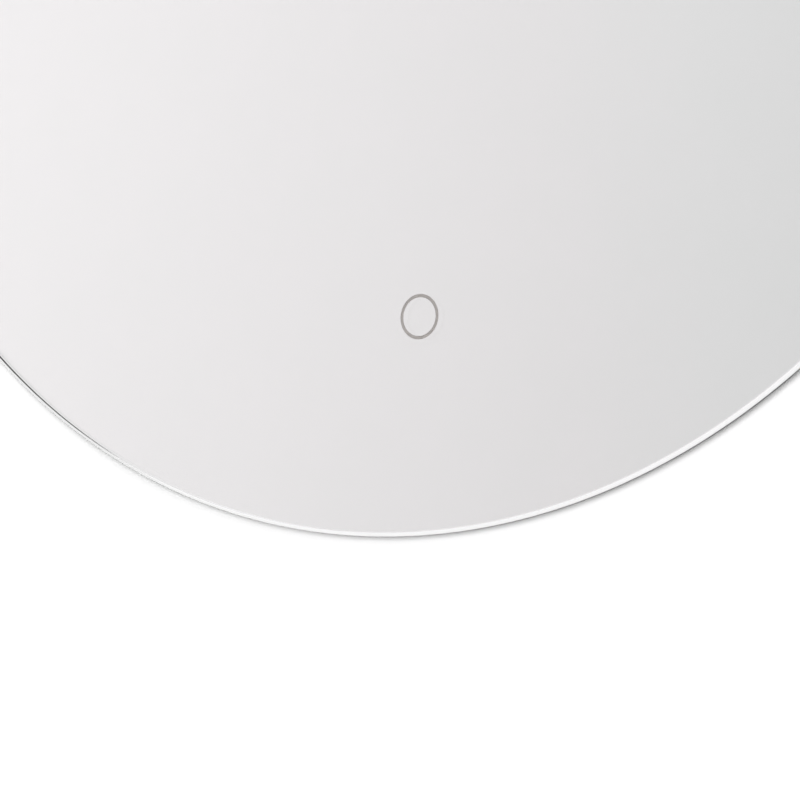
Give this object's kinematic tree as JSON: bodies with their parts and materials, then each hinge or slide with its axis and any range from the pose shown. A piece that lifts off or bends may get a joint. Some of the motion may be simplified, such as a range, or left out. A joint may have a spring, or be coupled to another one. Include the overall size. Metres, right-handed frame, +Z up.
{
  "type": "lighted bathroom mirror",
  "caption": "Round frameless wall mirror with a set-back edge backlight, a touch ring near its lower edge and a lift-off wall rail.",
  "frame": {"origin": "on the wall plane, at the middle of the wall rail's two screw slots, 110 mm above the centre of the glass", "axes": "+Z up, +Y into the wall, so the mirror faces -Y; +X to the right as the mirror is looked at"},
  "size_m": [0.6, 0.035, 0.6],
  "materials": {
    "clear_glass": "polished",
    "silver": "mirror silver",
    "opal_film": "matt translucent",
    "safety_film": "pale grey film",
    "foam_tape": "closed-cell foam",
    "frame_aluminium": "satin anodised",
    "screw_steel": "zinc plated",
    "rail_steel": "galvanised",
    "strip_white": "white flexible board",
    "led_yellow": "phosphor",
    "connector_white": "moulded",
    "opal_diffuser": "opal",
    "plate_paint": "white-grey powder coat",
    "rivet_aluminium": "bright",
    "black_rubber": "moulded",
    "white_plastic": "moulded",
    "terminal_brass": "bright",
    "circuit_board": "solder mask",
    "ferrite": "sintered, with yellow tape on the winding",
    "capacitor_can": "sleeved",
    "conductive_foam": "foam",
    "indicator_white": "lens",
    "white_lead": "sheathed",
    "earth_lead": "green and yellow insulation"
  },
  "bodies": {
    "wall_side": {"wall_rail": "rail_steel"},
    "mirror": {"mirror_glass": "clear_glass", "mirror_silvering": "silver", "touch_ring_film": "opal_film", "safety_film": "safety_film", "bonding_tape": "foam_tape", "frame_ring": "frame_aluminium", "frame_joint_plate": "frame_aluminium", "frame_joint_screws": "screw_steel", "led_strip": "strip_white", "led_chips": "led_yellow", "strip_connector": "connector_white", "light_diffuser": "opal_diffuser", "back_plate": "plate_paint", "back_plate_screws": "screw_steel", "hanging_rail": "rail_steel", "hanging_rail_rivets": "rivet_aluminium", "wall_bumpers": "black_rubber", "bumper_screws": "screw_steel", "terminal_box": "white_plastic", "terminal_cover": "white_plastic", "terminal_cover_screws": "screw_steel", "cable_grommet": "black_rubber", "terminal_block": "connector_white", "terminal_screws": "terminal_brass", "driver_case": "white_plastic", "driver_lid": "white_plastic", "driver_board": "circuit_board", "driver_transformer": "ferrite", "driver_capacitors": "capacitor_can", "driver_screws": "screw_steel", "sensor_tape": "foam_tape", "sensor_case": "white_plastic", "sensor_board": "circuit_board", "ring_light_guide": "opal_diffuser", "sensor_electrode": "conductive_foam", "indicator_leds": "indicator_white", "mains_inner_lead": "white_lead", "sensor_feed_lead": "white_lead", "strip_feed_lead": "white_lead", "strip_lead_grommet": "black_rubber", "lead_clips": "white_plastic", "earth_tag": "terminal_brass", "earth_screw": "screw_steel", "earth_lead": "earth_lead"}
  },
  "joints": [
    {"name": "lift_off", "type": "slide", "parent": "wall_side", "child": "mirror", "axis": [0, 0, 1], "range_m": [0, 0.012]}
  ]
}
